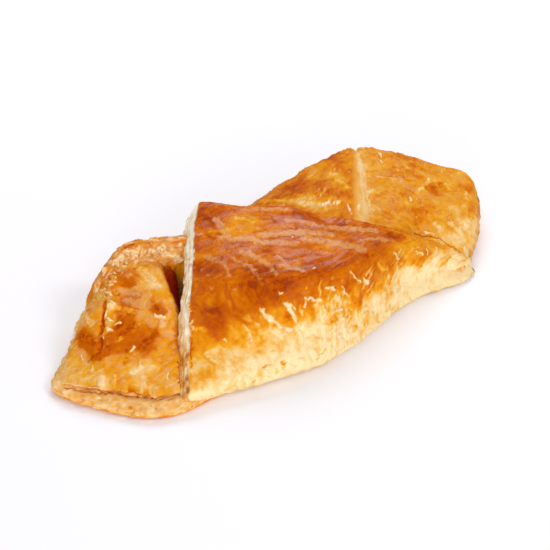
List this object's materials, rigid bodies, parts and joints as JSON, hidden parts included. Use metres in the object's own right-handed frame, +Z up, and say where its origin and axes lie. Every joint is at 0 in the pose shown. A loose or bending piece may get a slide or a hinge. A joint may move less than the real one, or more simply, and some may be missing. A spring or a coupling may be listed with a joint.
{
  "type": "cheese pastry",
  "caption": "Baked puff pastry, a square of laminated dough with two opposite corners folded over each other into a long parcel, open at one end, egg-washed and flaky",
  "frame": {"origin": "on the floor under the middle of the pastry's box, on its flat base", "axes": "+X runs along the pastry from its open end to its shut end; +Y points to the far fold, whose flap lies under; -Y to the near fold, whose flap lies on top; +Z is up"},
  "size_m": [0.1722, 0.0776, 0.0325],
  "materials": {
    "pastry": null
  },
  "bodies": {
    "root": {"pastry": "pastry"}
  },
  "joints": []
}
